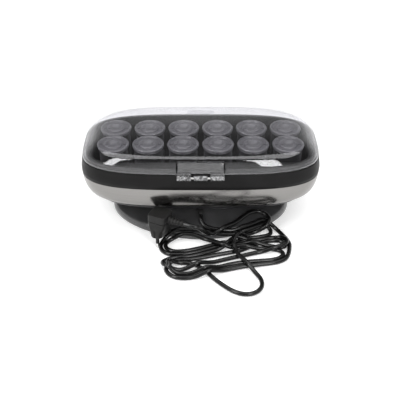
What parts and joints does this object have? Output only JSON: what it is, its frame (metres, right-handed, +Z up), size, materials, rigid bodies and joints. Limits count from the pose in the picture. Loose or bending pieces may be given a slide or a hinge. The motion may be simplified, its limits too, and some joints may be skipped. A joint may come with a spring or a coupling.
{
  "type": "heated roller set",
  "caption": "Heated hair roller set: flocked rollers on heating posts in an oval case with a hinged clear lid, on an oval foot, with its mains cord and plug.",
  "frame": {"origin": "bottom centre of the foot, on the surface that it stands on", "axes": "+X along the case, +Y to the front where the lid opens, +Z up; the lid hinge and the cord are on the -Y side"},
  "size_m": [0.3282, 0.2868, 0.1295],
  "materials": {
    "black_plastic": "satin moulded",
    "dark_plastic": "satin moulded",
    "foot_plastic": "gloss, dark grey",
    "cap_plastic": "fine grain moulded",
    "velvet_flock": "short black flock",
    "clear_plastic": "polished, slightly smoked, see-through",
    "brushed_steel": "brushed lengthways",
    "bright_steel": "bright plated",
    "cast_aluminium": "as cast",
    "brass": "bright",
    "mica_sheet": "plain",
    "ivory_plastic": "plain",
    "lead_insulation": "plain",
    "amber_lens": "polished",
    "black_rubber": "fine matt",
    "cord_sheath": "smooth satin"
  },
  "bodies": {
    "base": {"rim_frame": "black_plastic", "roller_tray": "black_plastic", "foot_base_plate": "black_plastic", "hinge_bracket": "black_plastic", "switch_bezel": "black_plastic", "bottom_cover": "dark_plastic", "foot_shell": "foot_plastic", "steel_band": "brushed_steel", "hinge_pin": "bright_steel", "base_screw_1": "bright_steel", "base_screw_2": "bright_steel", "base_screw_3": "bright_steel", "base_screw_4": "bright_steel", "thermostat": "bright_steel", "plug_pin_left": "bright_steel", "plug_pin_right": "bright_steel", "heater_plate": "cast_aluminium", "thermal_fuse": "brass", "heating_element": "mica_sheet", "terminal_block": "ivory_plastic", "live_lead": "lead_insulation", "neutral_lead": "lead_insulation", "pilot_lens": "amber_lens", "rubber_foot_1": "black_rubber", "rubber_foot_2": "black_rubber", "rubber_foot_3": "black_rubber", "rubber_foot_4": "black_rubber", "cord_gland": "black_rubber", "plug_body": "black_rubber", "cord_from_gland": "cord_sheath", "cord_to_plug": "cord_sheath", "cord_hank": "cord_sheath"},
    "lid": {"lid": "clear_plastic", "hinge_leaf": "clear_plastic", "lid_finger_lip": "clear_plastic"},
    "rocker": {"switch_rocker": "dark_plastic"},
    "roller_01": {"roller_barrel_01": "velvet_flock", "roller_cap_01": "cap_plastic"},
    "roller_02": {"roller_barrel_02": "velvet_flock", "roller_cap_02": "cap_plastic"},
    "roller_03": {"roller_barrel_03": "velvet_flock", "roller_cap_03": "cap_plastic"},
    "roller_04": {"roller_barrel_04": "velvet_flock", "roller_cap_04": "cap_plastic"},
    "roller_05": {"roller_barrel_05": "velvet_flock", "roller_cap_05": "cap_plastic"},
    "roller_06": {"roller_barrel_06": "velvet_flock", "roller_cap_06": "cap_plastic"},
    "roller_07": {"roller_barrel_07": "velvet_flock", "roller_cap_07": "cap_plastic"},
    "roller_08": {"roller_barrel_08": "velvet_flock", "roller_cap_08": "cap_plastic"},
    "roller_09": {"roller_barrel_09": "velvet_flock", "roller_cap_09": "cap_plastic"},
    "roller_10": {"roller_barrel_10": "velvet_flock", "roller_cap_10": "cap_plastic"},
    "roller_11": {"roller_barrel_11": "velvet_flock", "roller_cap_11": "cap_plastic"},
    "roller_12": {"roller_barrel_12": "velvet_flock", "roller_cap_12": "cap_plastic"}
  },
  "joints": [
    {"name": "lid_hinge", "type": "hinge", "parent": "base", "child": "lid", "pos_m": [0, -0.0858, 0.1035], "axis": [1, 0, 0], "range_deg": [0, 100]},
    {"name": "switch_rock", "type": "hinge", "parent": "base", "child": "rocker", "pos_m": [0.055, 0.0828, 0.094], "axis": [1, 0, 0], "range_deg": [-16, 0]},
    {"name": "roller_01_lift", "type": "slide", "parent": "base", "child": "roller_01", "axis": [0, 0, 1], "range_m": [0, 0.0008]},
    {"name": "roller_02_lift", "type": "slide", "parent": "base", "child": "roller_02", "axis": [0, 0, 1], "range_m": [0, 0.0008]},
    {"name": "roller_03_lift", "type": "slide", "parent": "base", "child": "roller_03", "axis": [0, 0, 1], "range_m": [0, 0.0008]},
    {"name": "roller_04_lift", "type": "slide", "parent": "base", "child": "roller_04", "axis": [0, 0, 1], "range_m": [0, 0.0008]},
    {"name": "roller_05_lift", "type": "slide", "parent": "base", "child": "roller_05", "axis": [0, 0, 1], "range_m": [0, 0.0008]},
    {"name": "roller_06_lift", "type": "slide", "parent": "base", "child": "roller_06", "axis": [0, 0, 1], "range_m": [0, 0.0008]},
    {"name": "roller_07_lift", "type": "slide", "parent": "base", "child": "roller_07", "axis": [0, 0, 1], "range_m": [0, 0.0008]},
    {"name": "roller_08_lift", "type": "slide", "parent": "base", "child": "roller_08", "axis": [0, 0, 1], "range_m": [0, 0.0008]},
    {"name": "roller_09_lift", "type": "slide", "parent": "base", "child": "roller_09", "axis": [0, 0, 1], "range_m": [0, 0.0008]},
    {"name": "roller_10_lift", "type": "slide", "parent": "base", "child": "roller_10", "axis": [0, 0, 1], "range_m": [0, 0.0008]},
    {"name": "roller_11_lift", "type": "slide", "parent": "base", "child": "roller_11", "axis": [0, 0, 1], "range_m": [0, 0.0008]},
    {"name": "roller_12_lift", "type": "slide", "parent": "base", "child": "roller_12", "axis": [0, 0, 1], "range_m": [0, 0.0008]}
  ]
}
